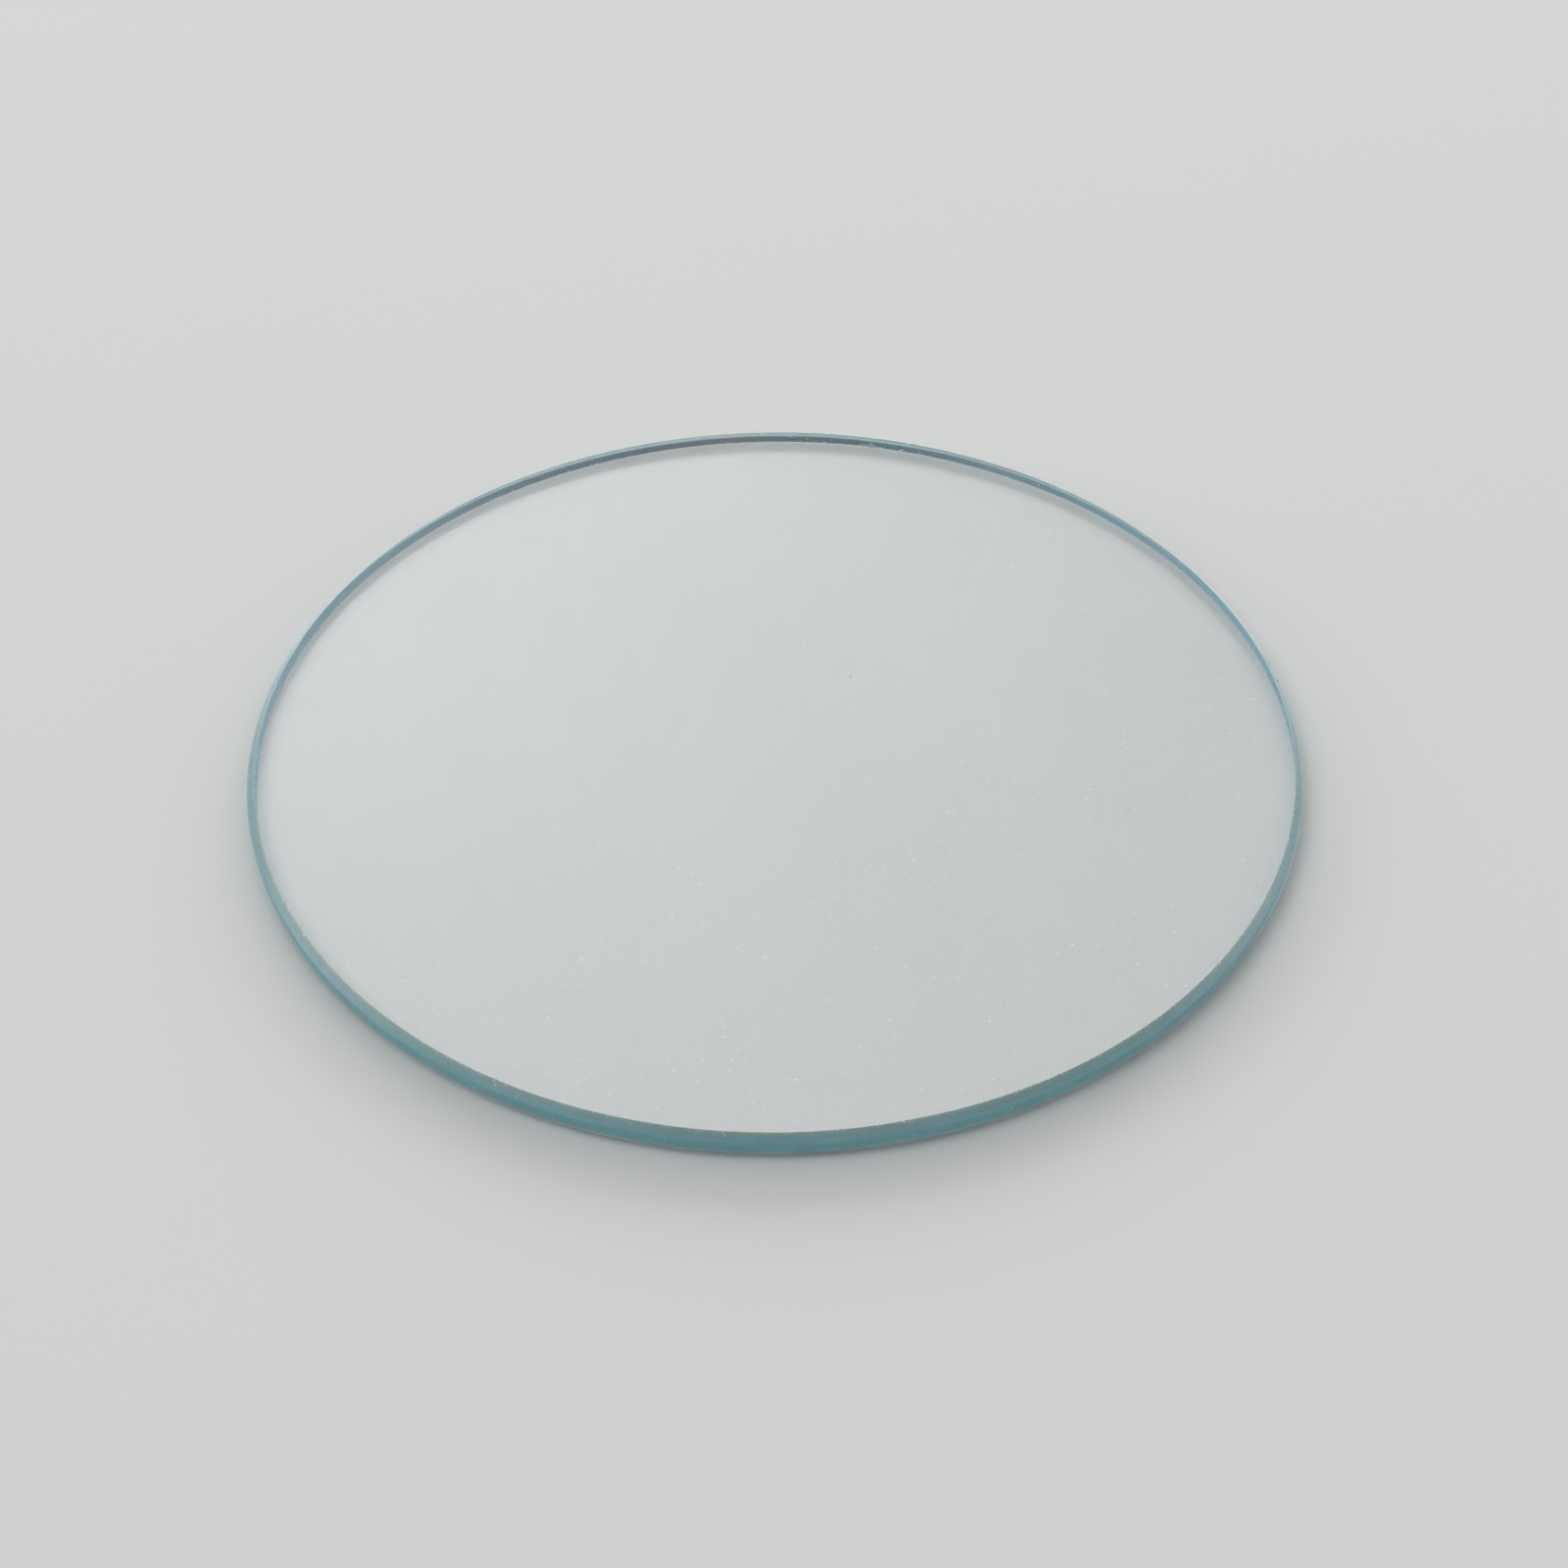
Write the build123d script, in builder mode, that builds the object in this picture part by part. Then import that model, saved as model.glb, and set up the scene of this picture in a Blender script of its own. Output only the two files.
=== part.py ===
from build123d import *
import os

# Flat round watch crystal, loose, as it is sold to be fitted to a case.
# It is one disc of mineral glass with two polished faces. Its edge is ground all
# the way round, with an arris at each face, and the grinding softens the corner
# where an arris meets the wall.
# The origin is the centre of the inner face, which the crystal lies on and which
# seats on the case ledge. +Z points out through the outer face.
# Lengths are in millimetres.

os.makedirs("parts", exist_ok=True)

# Driving dimensions
crystal_diameter = 38.0
crystal_thickness = 1.0

# How far each arris cuts in from the ground wall, measured along the face, and
# how far it cuts down from the face, measured along the wall
outer_arris_width = 0.30
outer_arris_height = 0.30
inner_arris_width = 0.30
inner_arris_height = 0.30

# Radius that the grinding leaves where an arris turns into the wall
arris_blend_radius = 0.25

# Places on the half section, seen from the side
rim_radius = crystal_diameter / 2
inner_polish_radius = rim_radius - inner_arris_width
outer_polish_radius = rim_radius - outer_arris_width
wall_bottom = inner_arris_height
wall_top = crystal_thickness - outer_arris_height

# The crystal: half a section through the glass, turned once round its axis
with BuildPart() as crystal:
    with BuildSketch(Plane.XZ) as half_section:
        with BuildLine():
            Polyline(
                (0, 0),
                (inner_polish_radius, 0),
                (rim_radius, wall_bottom),
                (rim_radius, wall_top),
                (outer_polish_radius, crystal_thickness),
                (0, crystal_thickness),
                close=True,
            )
        make_face()
        # The two outermost corners are the ends of the ground wall
        wall_ends = half_section.vertices().group_by(Axis.X)[-1]
        fillet(wall_ends, radius=arris_blend_radius)
    revolve(axis=Axis.Z)
    # Both polished faces stay flat, and everything between them is ground
    polished_faces = crystal.faces().filter_by(Plane.XY)
    ground_faces = crystal.faces() - polished_faces

crystal.part.label = "crystal"
export_step(crystal.part, "parts/crystal.step")

polished_area = sum(face.area for face in polished_faces)
ground_area = sum(face.area for face in ground_faces)
print("crystal volume in mm3", round(crystal.part.volume, 3))
print("polished area in mm2", round(polished_area, 3))
print("ground area in mm2", round(ground_area, 3))
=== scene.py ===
import math

import bpy
import numpy as np
from mathutils import Matrix, Vector


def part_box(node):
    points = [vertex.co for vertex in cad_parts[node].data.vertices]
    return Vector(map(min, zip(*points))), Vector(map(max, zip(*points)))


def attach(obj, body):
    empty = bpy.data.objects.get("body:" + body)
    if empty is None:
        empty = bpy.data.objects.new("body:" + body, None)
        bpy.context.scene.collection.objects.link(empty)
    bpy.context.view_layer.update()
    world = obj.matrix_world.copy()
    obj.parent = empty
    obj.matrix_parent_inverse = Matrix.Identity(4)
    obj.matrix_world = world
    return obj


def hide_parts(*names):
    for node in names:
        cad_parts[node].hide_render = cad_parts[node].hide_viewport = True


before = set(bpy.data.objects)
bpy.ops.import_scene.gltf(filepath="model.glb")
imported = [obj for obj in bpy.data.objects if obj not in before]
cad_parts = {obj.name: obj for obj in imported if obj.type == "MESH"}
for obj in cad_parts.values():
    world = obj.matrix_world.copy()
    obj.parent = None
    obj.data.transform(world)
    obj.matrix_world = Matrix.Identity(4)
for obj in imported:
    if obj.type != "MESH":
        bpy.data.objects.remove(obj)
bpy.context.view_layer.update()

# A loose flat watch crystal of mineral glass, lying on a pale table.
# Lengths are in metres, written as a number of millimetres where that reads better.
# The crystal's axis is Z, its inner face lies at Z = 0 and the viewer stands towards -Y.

mm = 0.001

# The disc reaches as far as the flattest side of the CAD solid's fine facets
lowCorner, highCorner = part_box("crystal")
rimRadius = min(-lowCorner[0], -lowCorner[1], highCorner[0], highCorner[1])
glassThickness = highCorner[2]


# The photograph's view: a long lens that looks down on the disc from the front
photoView = {
    "frameWidthPx": 1600,
    "sensorWidth": 36.0,       # in millimetres, as the camera's own settings are
    "lens": 100.0,
    "distance": 157.68 * mm,
    "elevationDeg": 42.3,
    "rollDeg": 0.556,
    "centreRightPx": -9.5,     # where the disc's centre sits in the frame
    "centreDownPx": -12.2,
    "clip": (5 * mm, 20.0),
}


# The camera stands back from the crystal's centre at its elevation, and small turns about
# its own axes then move that centre off the middle of the frame.
def makeCamera(view):
    focalPx = view["lens"] / view["sensorWidth"] * view["frameWidthPx"]
    elevation = math.radians(view["elevationDeg"])
    turns = (
        ("X", math.pi / 2 - elevation),
        ("Z", -math.radians(view["rollDeg"])),
        ("Y", math.atan(view["centreRightPx"] / focalPx)),
        ("X", math.atan(view["centreDownPx"] / focalPx)),
    )
    facing = Matrix.Identity(4)
    for axis, angle in turns:
        facing = facing @ Matrix.Rotation(angle, 4, axis)
    stand = Vector((0.0, -math.cos(elevation), math.sin(elevation))) * view["distance"]
    data = bpy.data.cameras.new("photoCamera")
    data.sensor_width = view["sensorWidth"]
    data.lens = view["lens"]
    data.clip_start, data.clip_end = view["clip"]
    camera = bpy.data.objects.new("photoCamera", data)
    bpy.context.scene.collection.objects.link(camera)
    camera.matrix_world = Matrix.Translation(stand) @ facing
    bpy.context.scene.camera = camera


# Shader helpers
def newMaterial(name):
    material = bpy.data.materials.new(name)
    material.use_nodes = True
    material.node_tree.nodes.clear()
    return material, material.node_tree


def setSocket(tree, socket, value):
    if isinstance(value, bpy.types.NodeSocket):
        tree.links.new(value, socket)
    else:
        socket.default_value = value


# A node with its sockets set: From_Min is the socket From Min, and i0 the first socket
def addNode(tree, kind, settings=None, **sockets):
    node = tree.nodes.new(kind)
    for name, value in (settings or {}).items():
        setattr(node, name, value)
    for name, value in sockets.items():
        place = int(name[1:]) if name[1:].isdigit() else name.replace("_", " ")
        setSocket(tree, node.inputs[place], value)
    return node


def mathNode(tree, operation, first, second=0.0, clamp=False):
    settings = {"operation": operation, "use_clamp": clamp}
    return addNode(tree, "ShaderNodeMath", settings, i0=first, i1=second).outputs[0]


def vectorNode(tree, operation, **sockets):
    return addNode(tree, "ShaderNodeVectorMath", {"operation": operation}, **sockets).outputs


def noiseNode(tree, places, **sockets):
    return addNode(tree, "ShaderNodeTexNoise", None, Vector=places, **sockets).outputs


def attributeNode(tree, name):
    return addNode(tree, "ShaderNodeAttribute", {"attribute_name": name}).outputs["Fac"]


# A value's range from low to high becomes one from toLow to toHigh, and goes no further
def remap(tree, value, low, high, toLow=0.0, toHigh=1.0):
    return addNode(tree, "ShaderNodeMapRange", {"clamp": True}, Value=value,
                   From_Min=low, From_Max=high, To_Min=toLow, To_Max=toHigh).outputs[0]


# The sockets 0, 6 and 7 of a Mix node are its factor and its two colours
def mixColours(tree, factor, first, second, blend="MIX"):
    settings = {"data_type": "RGBA", "blend_type": blend}
    return addNode(tree, "ShaderNodeMix", settings, i0=factor, i6=first, i7=second).outputs[2]


# Places on the crystal in millimetres, for every pattern
def placesInMm(tree):
    coordinates = tree.nodes.new("ShaderNodeTexCoord").outputs["Object"]
    perMm = (1 / mm, 1 / mm, 1 / mm)
    return addNode(tree, "ShaderNodeMapping", None, Vector=coordinates, Scale=perMm).outputs[0]


# A colour that changes along a value, through stops of place and colour
def colourStops(tree, value, stops):
    ramp = addNode(tree, "ShaderNodeValToRGB", None, Fac=value)
    elements = ramp.color_ramp.elements
    while len(elements) < len(stops):
        elements.new(0.5)
    for element, (place, colour) in zip(elements, stops):
        element.position, element.color = place, colour
    return ramp.outputs["Color"]


def showSurface(tree, shader):
    output = tree.nodes.new("ShaderNodeOutputMaterial")
    tree.links.new(shader.outputs[0], output.inputs["Surface"])


# A group's inputs are given as labels with their first values, None for a vector
def newGroup(name, inputs, outputs):
    group = bpy.data.node_groups.new(name, "ShaderNodeTree")
    for label, value in inputs.items():
        kind = "NodeSocketVector" if value is None else "NodeSocketFloat"
        socket = group.interface.new_socket(label, in_out="INPUT", socket_type=kind)
        if value is not None:
            socket.default_value = value
    for label in outputs:
        group.interface.new_socket(label, in_out="OUTPUT", socket_type="NodeSocketFloat")
    given = group.nodes.new("NodeGroupInput").outputs
    return group, given, group.nodes.new("NodeGroupOutput").inputs


# Grinding marks: fine even grain, plus faint lines that run round the disc because the
# wheel stood still while the disc turned. Mottle is the cloudiness left by wear.
grinding = {
    "inputs": {"Vector": None, "Grain per mm": 12.0, "Lines per mm": 9.0, "Line share": 0.4},
    "grain": {"Detail": 3.0, "Roughness": 0.62},
    "lines": {"Detail": 4.0, "Roughness": 0.7},
    "lineStretch": (0.06, 0.06, 1.0),
    "cloud": {"Scale": 1.1, "Detail": 5.0, "Roughness": 0.6},
    "cloudRange": (0.3, 0.7),
}


def makeGrindGroup():
    group, given, result = newGroup("grindMarks", grinding["inputs"], ("Height", "Mottle"))
    places = given["Vector"]
    grain = noiseNode(group, places, Scale=given["Grain per mm"], **grinding["grain"])["Fac"]
    roundWays = vectorNode(group, "MULTIPLY", i0=places, i1=grinding["lineStretch"])[0]
    lines = noiseNode(group, roundWays, Scale=given["Lines per mm"], **grinding["lines"])["Fac"]
    cloud = noiseNode(group, places, **grinding["cloud"])["Fac"]
    lineHeight = mathNode(group, "MULTIPLY", lines, given["Line share"])
    group.links.new(mathNode(group, "ADD", grain, lineHeight), result["Height"])
    group.links.new(remap(group, cloud, *grinding["cloudRange"]), result["Mottle"])
    return group


# Dust: one possible speck in each cell of a jittered flat grid. Only some cells hold one,
# more where a slow noise is high, and each speck has its own size. The grid slides with
# height, so the two faces don't hold the same dust.
settling = {
    "inputs": {"Vector": None, "Cells per mm": 2.0, "Speck size": 0.08, "Cover": 0.3},
    "slide": (7.3, 4.1),                   # along X and Y, for each millimetre of height
    "crumple": {"Scale": 11.0, "Detail": 1.0},
    "crumpleReach": (0.16, 0.16, 0.0),
    "drift": {"Scale": 0.22, "Detail": 4.0, "Roughness": 0.6},
    "driftCover": (0.35, 0.68, 0.25, 2.2),
    "sizes": (0.0, 1.0, 0.35, 1.0),
    "softEdge": 0.5,                       # the share of a speck's radius that fades
}


def makeDustGroup():
    group, given, result = newGroup("settledDust", settling["inputs"], ("Mask",))
    places = given["Vector"]
    height = addNode(group, "ShaderNodeSeparateXYZ", None, Vector=places).outputs["Z"]
    slides = [mathNode(group, "MULTIPLY", height, rate) for rate in settling["slide"]]
    slide = addNode(group, "ShaderNodeCombineXYZ", None, X=slides[0], Y=slides[1]).outputs[0]
    flat = vectorNode(group, "ADD", i0=places, i1=slide)[0]
    crumple = noiseNode(group, flat, **settling["crumple"])["Color"]
    reach = settling["crumpleReach"]
    crumpled = vectorNode(group, "MULTIPLY_ADD", i0=crumple, i1=reach, i2=flat)[0]
    cells = addNode(group, "ShaderNodeTexVoronoi", {"feature": "F1", "voronoi_dimensions": "2D"},
                    Vector=crumpled, Scale=given["Cells per mm"]).outputs
    chance = addNode(group, "ShaderNodeSeparateColor", None, Color=cells["Color"]).outputs
    drift = noiseNode(group, flat, **settling["drift"])["Fac"]
    drifted = remap(group, drift, *settling["driftCover"])
    cover = mathNode(group, "MULTIPLY", given["Cover"], drifted)
    held = mathNode(group, "LESS_THAN", chance["Red"], cover)
    share = remap(group, chance["Green"], *settling["sizes"])
    size = mathNode(group, "MULTIPLY", given["Speck size"], share)
    away = mathNode(group, "DIVIDE", cells["Distance"], size)
    nearness = mathNode(group, "SUBTRACT", 1.0, away, clamp=True)
    soft = remap(group, nearness, 0.0, settling["softEdge"])
    group.links.new(mathNode(group, "MULTIPLY", soft, held), result["Mask"])
    return group


# The polished faces: clear glass with a thin film of wipe haze, and dust on it
polish = {
    "tint": (0.975, 0.993, 0.991, 1.0),
    "fineDust": {"Cells per mm": 1.9, "Speck size": 0.10, "Cover": 0.48},
    "coarseDust": {"Cells per mm": 0.55, "Speck size": 0.040, "Cover": 0.12},
    "dustTint": (0.66, 0.67, 0.66, 1.0),
    "dustRoughness": 0.6,
    "wipeTurn": (0.0, 0.0, 0.9),           # the haze is drawn out along the way the cloth went
    "wipeStretch": (1.0, 0.35, 1.0),
    "haze": {"Scale": 0.13, "Detail": 6.0, "Roughness": 0.6},
    "hazeRange": (0.42, 0.70),
    "filmWeight": 0.45,
    "filmRoughness": 0.38,
    "ior": 1.52,
}


def makePolishedGlass(dustGroup):
    material, tree = newMaterial("polishedGlass")
    places = placesInMm(tree)
    layers = []
    for layer in ("fineDust", "coarseDust"):
        specks = addNode(tree, "ShaderNodeGroup", {"node_tree": dustGroup}, Vector=places)
        for socket, value in polish[layer].items():
            specks.inputs[socket].default_value = value
        layers.append(specks.outputs["Mask"])
    dust = mathNode(tree, "MAXIMUM", *layers)
    wiped = addNode(tree, "ShaderNodeMapping", None, Vector=places, Rotation=polish["wipeTurn"],
                    Scale=polish["wipeStretch"]).outputs[0]
    haze = noiseNode(tree, wiped, **polish["haze"])["Fac"]
    film = remap(tree, haze, *polish["hazeRange"], 0.0, polish["filmWeight"])
    roughness = mathNode(tree, "MULTIPLY", dust, polish["dustRoughness"])
    colour = mixColours(tree, dust, polish["tint"], polish["dustTint"])
    shader = addNode(tree, "ShaderNodeBsdfPrincipled", None, Base_Color=colour, Roughness=roughness,
                     IOR=polish["ior"], Transmission_Weight=1.0, Coat_Weight=film,
                     Coat_Roughness=polish["filmRoughness"])
    showSurface(tree, shader)
    return material


# The ground edge: frosted glass, aqua because light reaches it through the whole disc. The
# stops run from the middle of the wall, 0, past its end, 0.16, and the blend's, 0.48, to
# where the arris meets the face, 1. Seen through the glass the edge takes other colours,
# which are painted light: the wall and blends are painted bright for the light that comes in
# there from behind, and the arris steel blue, with painted shade on the side away from the
# viewer. A paler skin round the far side of the upper edge is a painted sheen. Seen edge-on
# from outside, the grain gleams pale.
ground = {
    "skinStops": (
        (0.00, (0.09, 0.30, 0.335, 1.0)),
        (0.40, (0.10, 0.305, 0.34, 1.0)),
        (0.54, (0.13, 0.30, 0.33, 1.0)),
        (0.70, (0.14, 0.28, 0.30, 1.0)),
        (0.88, (0.19, 0.31, 0.29, 1.0)),
        (0.965, (0.24, 0.32, 0.28, 1.0)),
        (1.00, (0.31, 0.34, 0.28, 1.0)),
    ),
    # Painted light: the edge's colours seen through the glass, bright where light comes in from
    # behind
    "paintedLightStops": (
        (0.00, (0.82, 1.00, 0.93, 1.0)),
        (0.20, (0.86, 1.00, 0.95, 1.0)),
        (0.42, (0.74, 0.96, 0.96, 1.0)),
        (0.52, (0.48, 0.77, 0.90, 1.0)),
        (0.75, (0.50, 0.79, 0.92, 1.0)),
        (0.97, (0.52, 0.78, 0.90, 1.0)),
        (1.00, (0.62, 0.80, 0.88, 1.0)),
    ),
    # Painted shade over the arris seen through the glass, on the side away from the viewer
    "farShadeTint": (0.06, 0.09, 0.13, 1.0),
    "paintedSheen": (0.34, 0.50, 0.50, 1.0),   # a painted sheen: the paler skin round the far side of the upper edge
    "mottleTint": (0.86, 0.93, 0.95, 1.0),
    # Pale flecks: dust specks, and painted glints that gather near the face
    "dustAndGlint": (0.86, 0.92, 0.90, 1.0),
    "fleckNoise": {"Scale": 14.0, "Detail": 2.0},
    "fleckRange": (0.70, 0.75),
    "glintRange": (0.60, 0.68),            # near the face the same noise gives more painted glints which lie between here and the face
    "glintStart": 0.84,                    # which lie between here and the face
    "chipPaintedShade": (0.30, 0.42, 0.45, 1.0),  # a chip's fresh glass in painted shade, and its painted glints
    "chipPaintedGlint": (1.00, 1.00, 0.98, 1.0),
    "chipRange": (0.52, 0.62),
    "chipGlintAtFace": 0.12,               # a chip's painted glints grow the nearer it is to the face
    "grainTone": (0.35, 0.95, 0.88, 1.12),
    "grainRoughness": (0.3, 1.0, 0.54, 0.70),
    "grainDepth": 0.008 * mm,
    "grainStrength": 0.8,
    "transmission": {"groundArris": 0.25, "groundWall": 0.45},  # more light passes the wall
    "coat": 1.0,               # a gloss that shows where the grinding is seen edge-on
    "coatRoughness": 0.35,
    "sheen": 1.0,              # the ground grain's own pale gleam, edge-on too
    "sheenRoughness": 0.3,
    "sheenTint": (0.90, 1.0, 0.98, 1.0),
    "ior": 1.52,
}


def makeGroundGlass(name, grindGroup):
    material, tree = newMaterial(name)
    places = placesInMm(tree)
    grind = addNode(tree, "ShaderNodeGroup", {"node_tree": grindGroup}, Vector=places).outputs
    across, paintedSheenShare = attributeNode(tree, "acrossEdge"), attributeNode(tree, "paintedSheenShare")
    skin = colourStops(tree, across, ground["skinStops"])
    # A painted sheen: the skin is paler round the far side of the upper edge
    skin = mixColours(tree, paintedSheenShare, skin, ground["paintedSheen"])
    # Seen through the glass the edge's colours are painted light, with painted shade over the arris
    # on the side away from the viewer
    farShade = attributeNode(tree, "paintedFarShade")
    through = colourStops(tree, across, ground["paintedLightStops"])
    through = mixColours(tree, farShade, through, ground["farShadeTint"], "MULTIPLY")
    fromInside = tree.nodes.new("ShaderNodeNewGeometry").outputs["Backfacing"]
    plain = mixColours(tree, fromInside, skin, through)
    mottled = mixColours(tree, grind["Mottle"], plain, ground["mottleTint"], "MULTIPLY")
    # Pale flecks of dust and painted glints, more of the glints near the face
    speckle = noiseNode(tree, places, **ground["fleckNoise"])["Fac"]
    atFace = remap(tree, across, ground["glintStart"], 1.0)
    glints = mathNode(tree, "MULTIPLY", remap(tree, speckle, *ground["glintRange"]), atFace)
    dustAndGlints = mathNode(tree, "MAXIMUM", remap(tree, speckle, *ground["fleckRange"]), glints)
    withDustAndGlints = mixColours(tree, dustAndGlints, mottled, ground["dustAndGlint"])

    # A chip's colour is painted: painted shade with painted glints, more of them near the face
    moreAtFace = mathNode(tree, "MULTIPLY", atFace, ground["chipGlintAtFace"])
    sparkle = remap(tree, mathNode(tree, "ADD", speckle, moreAtFace), *ground["chipRange"])
    chip = mixColours(tree, sparkle, ground["chipPaintedShade"], ground["chipPaintedGlint"])
    colour = mixColours(tree, attributeNode(tree, "freshGlass"), withDustAndGlints, chip)
    grainTone = remap(tree, grind["Height"], *ground["grainTone"])
    shade = mathNode(tree, "ADD", attributeNode(tree, "edgeTone"), grainTone)
    toned = vectorNode(tree, "SCALE", i0=colour, Scale=shade)[0]

    bump = addNode(tree, "ShaderNodeBump", None, Height=grind["Height"],
                   Distance=ground["grainDepth"], Strength=ground["grainStrength"]).outputs[0]
    roughness = remap(tree, grind["Height"], *ground["grainRoughness"])
    coat = remap(tree, fromInside, 0.0, 1.0, ground["coat"], 0.0)
    shader = addNode(tree, "ShaderNodeBsdfPrincipled", None, Base_Color=toned, Roughness=roughness,
                     IOR=ground["ior"], Normal=bump, Coat_Weight=coat,
                     Transmission_Weight=ground["transmission"][name],
                     Coat_Roughness=ground["coatRoughness"], Sheen_Weight=ground["sheen"],
                     Sheen_Roughness=ground["sheenRoughness"], Sheen_Tint=ground["sheenTint"])
    showSurface(tree, shader)
    return material


# The crystal. Angles are in degrees round +Z from +X, lengths in millimetres, and places
# across the edge run from 0 in the middle of the wall to 1 at a face.
crystal = {
    "turnSteps": 4000,
    "arrisWidth": 0.30,
    "blendRadius": 0.25,
    "blendSteps": 4,
    "arrisShares": (0.22, 0.42, 0.60, 0.76, 0.88, 0.96),
    "arrisDrift": {"outer": (0.018, 325), "inner": (0.050, 10)},  # narrower by this much, where
    "arrisStart": 0.49,        # the wall's material ends and the arris's begins here
    "darkestShadeAt": 97,          # the arris seen through the glass has its darkest painted shade here, fainter away from it
    "shadeFall": 5.0,
    "shadeStart": (0.44, 0.06),           # where the painted shade begins and how soon it is full
    "paintedSheen": {"angles": (0, 50, 130, 180), "amounts": (0, 1, 1, 0)},  # a painted sheen, on the outer half
    "edgeWander": (0.010, (3, 40, 4)),     # slow wander of the line where arris and face meet
    "edgeFret": (0.006, (300, 1700, 90)),  # and its finest jaggedness, in counts of waves
    "raggedness": (0.4, 4),    # how much a chip's outline is broken up, and over how many steps
    "freshFrom": (0.12, 0.1),  # chips that take more of the arris than this show fresh glass
    "freshFade": 3,
    "flatFrom": 0.3,           # faces this far into a chip stay flat, so they sparkle
    "microChips": 700,
    "microChipWidth": (0.05, 0.17),
    "microChipBite": (0.003, 0.026),
    "microChipTakes": (0.06, 0.14),
    "microChipTakesBySize": 0.16,
    "microChipDepth": 0.7,     # as a share of the bite
    "microChipFullness": (0.5, 1.5),
    "smallChipsRule": 2.5,     # the higher, the more of them are tiny
    "crowdedSectors": ((155, 172), (183, 210), (344, 358)),
    "crowdedEvery": 3,         # every third small chip falls in a crowded sector
    "seed": 7,
    # Single chips at a face's edge: angle, width along the edge, bite into the face, depth,
    # and how much of the arris each takes as a share
    "chipFullness": 0.6,
    "outerChips": (
        (31.5, 0.16, 0.07, 0.04, 0.5), (71.9, 0.12, 0.05, 0.04, 0.5),
        (160.1, 0.24, 0.04, 0.03, 0.4), (168.4, 0.20, 0.05, 0.03, 0.4),
        (239.6, 0.12, 0.05, 0.03, 0.35), (282.3, 0.10, 0.03, 0.03, 0.3),
        (345.5, 0.14, 0.04, 0.03, 0.4), (351.4, 0.13, 0.05, 0.03, 0.4),
    ),
    "innerChips": (
        (71.9, 0.16, 0.03, 0.05, 0.5), (74.2, 0.26, 0.02, 0.07, 0.7),
        (76.9, 0.30, 0.03, 0.08, 0.6), (77.9, 0.44, 0.06, 0.12, 0.85),
        (79.0, 0.40, 0.05, 0.10, 0.75), (83.6, 0.14, 0.02, 0.04, 0.4),
    ),
    # Marks on the ground surface: angle, height above the inner face, radius, change of tone
    "edgeMarks": (
        (272.7, 0.34, 0.26, -0.22), (206.0, 0.75, 0.04, -0.40), (225.0, 0.52, 0.05, -0.40),
        (233.9, 0.62, 0.05, -0.35), (253.5, 0.52, 0.05, 0.55), (308.2, 0.55, 0.22, 0.10),
        (288.0, 0.80, 0.10, 0.08), (262.0, 0.86, 0.12, 0.08), (79.8, 0.18, 0.05, -0.50),
        (77.0, 0.10, 0.05, -0.50), (74.7, 0.15, 0.05, -0.50), (75.6, 0.26, 0.04, 0.50),
        (72.2, 0.08, 0.05, 0.60),
    ),
    # Nicks in the ground wall's upper corner: angle, width, depth
    "wallNicks": ((11.6, 0.20, 0.05), (14.6, 0.26, 0.06)),
}


# A sum of seeded sines, scaled to stay between -1 and 1. The counts of waves round the
# disc run from one number to another in steps.
def wavesRound(angles, countRange, random):
    counts = np.arange(*countRange)
    phases = random.uniform(0, 2 * np.pi, len(counts))
    weights = random.uniform(0.5, 1.0, len(counts))
    waves = weights[:, None] * np.sin(np.outer(counts, angles) + phases[:, None])
    return waves.sum(0) / weights.sum()


# The distance round the rim from each angle to a given one
def arcFrom(angles, degrees):
    turn = (angles - math.radians(degrees) + np.pi) % (2 * np.pi) - np.pi
    return np.abs(turn) * rimRadius


# A chip's outline: 1 in its middle and 0 from half its width outwards. Fullness 0.5 gives
# a half ellipse and 1 a parabola.
def scallop(distance, width, fullness=0.5):
    return np.clip(1 - (2 * distance / width) ** 2, 0, None) ** fullness


# The single chips and the seeded small ones as one list, each with its angle, width, bite,
# depth, share of the arris and fullness
def listChips(random, singles):
    fullness = crystal["chipFullness"]
    chips = [(d, w * mm, b * mm, s * mm, r, fullness) for d, w, b, s, r in singles]
    sectors, every = crystal["crowdedSectors"], crystal["crowdedEvery"]
    for number in range(crystal["microChips"]):
        sector = sectors[number // every % len(sectors)] if number % every == 0 else (0, 360)
        size = random.uniform(0, 1) ** crystal["smallChipsRule"]
        width = np.interp(size, (0, 1), crystal["microChipWidth"]) * mm
        eats = np.interp(size, (0, 1), crystal["microChipBite"]) * mm
        takes = random.uniform(*crystal["microChipTakes"]) + crystal["microChipTakesBySize"] * size
        chips.append((random.uniform(*sector), width, eats, eats * crystal["microChipDepth"],
                      takes, random.uniform(*crystal["microChipFullness"])))
    return chips


# At every angle, how far chips eat into the face, how deep they scoop the arris, and how
# much of the arris they take
def chipsRound(angles, random, singles):
    bite, depth, reach = (np.zeros_like(angles) for _ in range(3))
    raggedness, over = crystal["raggedness"]
    ragged = random.uniform(0, 1, len(angles))
    ragged = 1 - raggedness * sum(np.roll(ragged, shift) for shift in range(over)) / over
    for degrees, width, eats, scoops, takes, fullness in listChips(random, singles):
        shape = scallop(arcFrom(angles, degrees), width, fullness) * ragged
        bite, depth = np.maximum(bite, shape * eats), np.maximum(depth, shape * scoops)
        reach = np.maximum(reach, shape * takes)
    return bite, depth, reach


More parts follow.
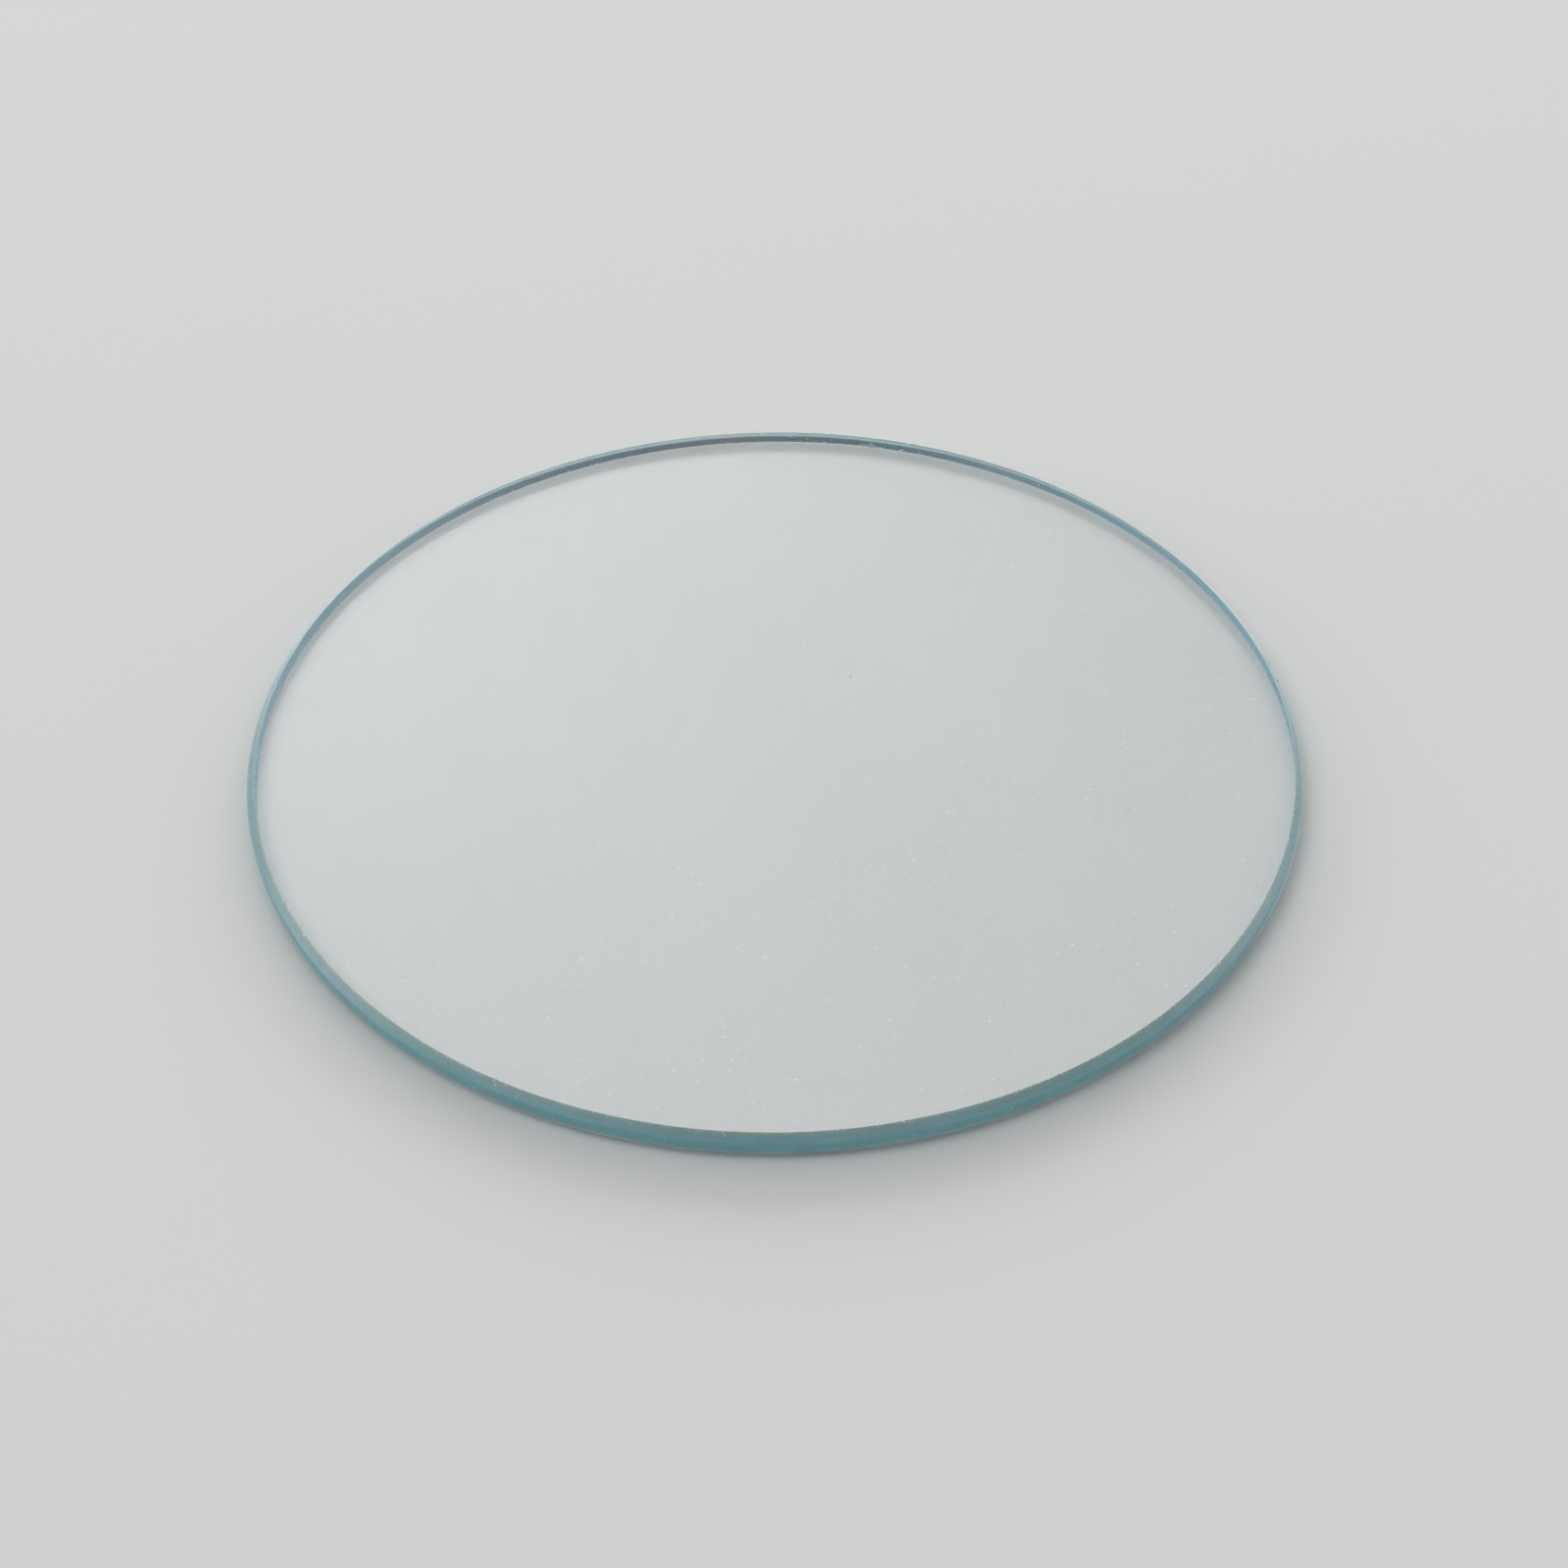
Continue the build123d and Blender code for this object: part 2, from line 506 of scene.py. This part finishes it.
# Half of the edge's profile at every angle, from the middle of the wall up to a face: the
# wall, an arc that turns through 45 degrees, and a straight arris. A chip moves the
# arris's end inwards and scoops the part of the arris that it reaches. Gives the radii,
# the heights above the middle, the way along the profile from 0 to 1, and how fresh.
def halfEdge(angles, random, singles, drift):
    width, blend = crystal["arrisWidth"] * mm, crystal["blendRadius"] * mm
    bite, depth, reach = chipsRound(angles, random, singles)
    wanderReach, wanderCounts = crystal["edgeWander"]
    fretReach, fretCounts = crystal["edgeFret"]
    wander = wavesRound(angles, wanderCounts, random) * wanderReach * mm
    fret = np.abs(wavesRound(angles, fretCounts, random)) * fretReach * mm
    drifted = drift[0] * mm * np.cos(angles - math.radians(drift[1]))
    edgeRadius = rimRadius - width + drifted + wander - fret - bite
    wallTop = glassThickness / 2 - width - blend * math.tan(math.pi / 8)
    full = np.ones_like(angles)
    radii, heights = [rimRadius * full], [0 * full]
    fresh = [0 * full] * (1 + crystal["blendSteps"])
    for turn in np.linspace(0, math.pi / 4, crystal["blendSteps"]):
        radii.append((rimRadius - blend * (1 - math.cos(turn))) * full)
        heights.append((wallTop + blend * math.sin(turn)) * full)
    startRadius, startHeight = radii[-1], heights[-1]
    freshFrom, freshOver = crystal["freshFrom"]
    deepEnough = np.clip((reach - freshFrom) / freshOver, 0, 1)
    for share in crystal["arrisShares"] + (1.0,):
        within = np.clip((share - (1 - reach)) / np.maximum(reach, 1e-6), 0, 1)
        sink = depth * np.sin(np.pi * within) * math.sqrt(0.5)
        radii.append(startRadius + (edgeRadius - startRadius) * share - sink)
        heights.append(startHeight + (glassThickness / 2 - startHeight) * share - sink)
        fresh.append(np.clip(crystal["freshFade"] * within, 0, 1) * deepEnough)
    radii, heights = np.array(radii), np.array(heights)
    steps = np.hypot(np.diff(radii.mean(1)), np.diff(heights.mean(1)))
    along = np.concatenate([[0.0], np.cumsum(steps)]) / steps.sum()
    return radii, heights, along, np.array(fresh)


# The inner half of the edge turned upside down, then the outer half. Rows run from the
# inner face's edge out round the wall to the outer face's, and columns round the disc.
def wholeEdge(angles, random):
    drift = crystal["arrisDrift"]
    upper = halfEdge(angles, random, crystal["outerChips"], drift["outer"])
    lower = halfEdge(angles, random, crystal["innerChips"], drift["inner"])
    nicked = slice(1, crystal["blendSteps"] + 2)
    for degrees, width, sinks in crystal["wallNicks"]:
        upper[0][nicked] -= scallop(arcFrom(angles, degrees), width * mm) * sinks * mm
    radii, heights, along, fresh = (
        np.concatenate([sign * low[:0:-1], up])
        for sign, low, up in zip((1, -1, 1, 1), lower, upper)
    )
    return radii, heights + glassThickness / 2, along, fresh


# One closed mesh: quads between the grid's rows, and a fan of triangles for each face
def makeSkin(angles, radii, heights):
    rows, steps = radii.shape
    places = np.stack([radii * np.cos(angles), radii * np.sin(angles), heights], axis=-1)
    places = np.concatenate([places.reshape(-1, 3), [[0, 0, 0], [0, 0, glassThickness]]])
    index = np.arange(rows * steps).reshape(rows, steps)
    after = np.roll(index, -1, axis=1)
    quads = np.stack([index[:-1], after[:-1], after[1:], index[1:]], axis=-1).reshape(-1, 4)
    bottom = np.stack([after[0], index[0], np.full(steps, rows * steps)], axis=-1)
    top = np.stack([index[-1], after[-1], np.full(steps, rows * steps + 1)], axis=-1)
    corners = np.concatenate([quads.ravel(), bottom.ravel(), top.ravel()])
    fanStarts = len(quads) * 4 + np.arange(2 * steps) * 3
    starts = np.concatenate([np.arange(len(quads)) * 4, fanStarts])
    mesh = bpy.data.meshes.new("crystalGlass")
    mesh.vertices.add(len(places))
    mesh.vertices.foreach_set("co", places.ravel())
    mesh.loops.add(len(corners))
    mesh.loops.foreach_set("vertex_index", corners.astype(np.int32))
    mesh.polygons.add(len(starts))
    mesh.polygons.foreach_set("loop_start", starts.astype(np.int32))
    return mesh


# Materials: 0 polished face, 1 arris, 2 wall and blends
def sortFaces(mesh, along, fresh):
    steps = fresh.shape[1]
    onWall = np.maximum(along[:-1], along[1:]) < crystal["arrisStart"]
    fans = np.zeros(2 * steps, int)
    kinds = np.concatenate([np.repeat(1 + onWall, steps), fans])
    inChip = (np.minimum(fresh[:-1], fresh[1:]) > crystal["flatFrom"]).ravel()
    inChip = np.concatenate([inChip, fans > 0])
    mesh.polygons.foreach_set("material_index", kinds.astype(np.int32))
    mesh.polygons.foreach_set("use_smooth", (kinds > 0) & ~inChip)


# What the ground materials read at each place on the edge. The arris's painted far-side
# shade is ((1 + cos(angle - darkest)) / 2) ^ fall, and none on wall and blend.
def markEdge(mesh, angles, heights, along, fresh):
    tone = np.zeros_like(heights)
    for degrees, height, radius, change in crystal["edgeMarks"]:
        away = np.hypot(arcFrom(angles, degrees)[None, :] / mm, heights / mm - height)
        tone += change * np.exp(-(away / radius) ** 2)
    acrossEdge = np.repeat(along[:, None], len(angles), axis=1)
    facing = (1 + np.cos(angles - math.radians(crystal["darkestShadeAt"]))) / 2
    shadeFrom, shadeOver = crystal["shadeStart"]
    onArris = np.clip((acrossEdge - shadeFrom) / shadeOver, 0, 1)
    farShade = onArris * facing ** crystal["shadeFall"]
    # Where the painted sheen lies: on the outer half, round the far side
    paintedSheen = crystal["paintedSheen"]
    amounts = np.interp(np.degrees(angles), paintedSheen["angles"], paintedSheen["amounts"])
    paintedSheenShare = (heights > glassThickness / 2) * amounts
    marks = {"edgeTone": tone, "acrossEdge": acrossEdge, "paintedFarShade": farShade,
             "paintedSheenShare": paintedSheenShare, "freshGlass": fresh}
    middles = [0.0, 0.0]
    for name, values in marks.items():
        attribute = mesh.attributes.new(name, "FLOAT", "POINT")
        attribute.data.foreach_set("value", np.concatenate([values.ravel(), middles]))


def makeCrystal(materials):
    random = np.random.default_rng(crystal["seed"])
    angles = np.linspace(0, 2 * np.pi, crystal["turnSteps"], endpoint=False)
    radii, heights, along, fresh = wholeEdge(angles, random)
    mesh = makeSkin(angles, radii, heights)
    sortFaces(mesh, along, fresh)
    markEdge(mesh, angles, heights, along, fresh)
    mesh.update(calc_edges=True)
    mesh.validate()
    for material in materials:
        mesh.materials.append(material)
    piece = bpy.data.objects.new("crystalGlass", mesh)
    bpy.context.scene.collection.objects.link(piece)
    return piece


# The table: a wide plain sheet a hair below the glass
table = {"size": 6.0, "gap": 0.01 * mm, "colour": (0.70, 0.70, 0.695, 1.0), "roughness": 0.7}


def makeTable():
    material, tree = newMaterial("paleTable")
    shader = addNode(tree, "ShaderNodeBsdfPrincipled", None, Base_Color=table["colour"],
                     Roughness=table["roughness"])
    showSurface(tree, shader)
    half, level = table["size"] / 2, -table["gap"]
    corners = [(x * half, y * half, level) for x, y in ((-1, -1), (1, -1), (1, 1), (-1, 1))]
    mesh = bpy.data.meshes.new("paleTable")
    mesh.from_pydata(corners, [], [(0, 1, 2, 3)])
    mesh.materials.append(material)
    floor = bpy.data.objects.new("paleTable", mesh)
    bpy.context.scene.collection.objects.link(floor)


# Soft light: a large box above the left shoulder, a low one on each side and a low wide one
# at the back, which light the rim from behind. Glow 1 is as bright as white paper.
softBoxes = {
    "keyBox": {"place": (-0.75, -0.25, 1.3), "size": (1.1, 1.1), "glow": 1.3},
    "leftBox": {"place": (-1.45, 0.20, 0.34), "size": (0.9, 0.5), "glow": 3.0},
    "rightBox": {"place": (1.45, 0.30, 0.30), "size": (0.9, 0.5), "glow": 1.5},
    "backBox": {"place": (0.0, 1.50, 0.42), "size": (2.4, 0.6), "glow": 4.6},
}


def makeSoftBoxes():
    for name, box in softBoxes.items():
        data = bpy.data.lights.new(name, "AREA")
        data.shape = "RECTANGLE"
        data.size, data.size_y = box["size"]
        data.energy = box["glow"] * math.pi * data.size * data.size_y
        lamp = bpy.data.objects.new(name, data)
        bpy.context.scene.collection.objects.link(lamp)
        lamp.location = box["place"]
        lamp.rotation_euler = lamp.location.to_track_quat("Z", "Y").to_euler()
        lamp.visible_camera = False


# A pale room, dimmer behind the viewer, with one soft glow that the upper left of the
# polished face mirrors
room = {
    "colour": (0.52, 0.525, 0.53, 1.0),
    "glowWay": (-0.12, 0.80, 0.58),
    "glow": 2.4,
    "glowSharpness": 70.0,
    "dimBehindViewer": 0.45,
}


def makeRoom():
    world = bpy.data.worlds.new("paleRoom")
    bpy.context.scene.world = world
    world.use_nodes = True
    tree = world.node_tree
    tree.nodes.clear()
    way = tree.nodes.new("ShaderNodeTexCoord").outputs["Generated"]
    glowWay = Vector(room["glowWay"]).normalized()
    towards = vectorNode(tree, "DOT_PRODUCT", i0=way, i1=glowWay)["Value"]
    soft = mathNode(tree, "POWER", mathNode(tree, "MAXIMUM", towards, 0.0), room["glowSharpness"])
    forward = addNode(tree, "ShaderNodeSeparateXYZ", None, Vector=way).outputs["Y"]
    dimmed = remap(tree, forward, -1.0, 0.0, 1.0 - room["dimBehindViewer"], 1.0)
    strength = mathNode(tree, "ADD", mathNode(tree, "MULTIPLY", soft, room["glow"]), dimmed)
    background = addNode(tree, "ShaderNodeBackground", None, Color=room["colour"],
                         Strength=strength)
    output = tree.nodes.new("ShaderNodeOutputWorld")
    tree.links.new(background.outputs[0], output.inputs["Surface"])


makeCamera(photoView)
makeSoftBoxes()
makeRoom()
makeTable()
print("camera, light and table are up")

grindGroup, dustGroup = makeGrindGroup(), makeDustGroup()
groundGlass = [makeGroundGlass(name, grindGroup) for name in ground["transmission"]]
glass = makeCrystal([makePolishedGlass(dustGroup)] + groundGlass)
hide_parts("crystal")
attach(glass, "root")
print("crystal glass:", len(glass.data.polygons), "faces")

# Smooth glass stays smooth for light that the table sends back up through it, and light
# may zigzag between the two faces all the way from one side of the rim to the other
lightPaths = bpy.context.scene.cycles
lightPaths.blur_glossy = 0.0
lightPaths.max_bounces = lightPaths.glossy_bounces = lightPaths.transmission_bounces = 48
bpy.context.scene.view_settings.view_transform = "Standard"
bpy.context.view_layer.update()
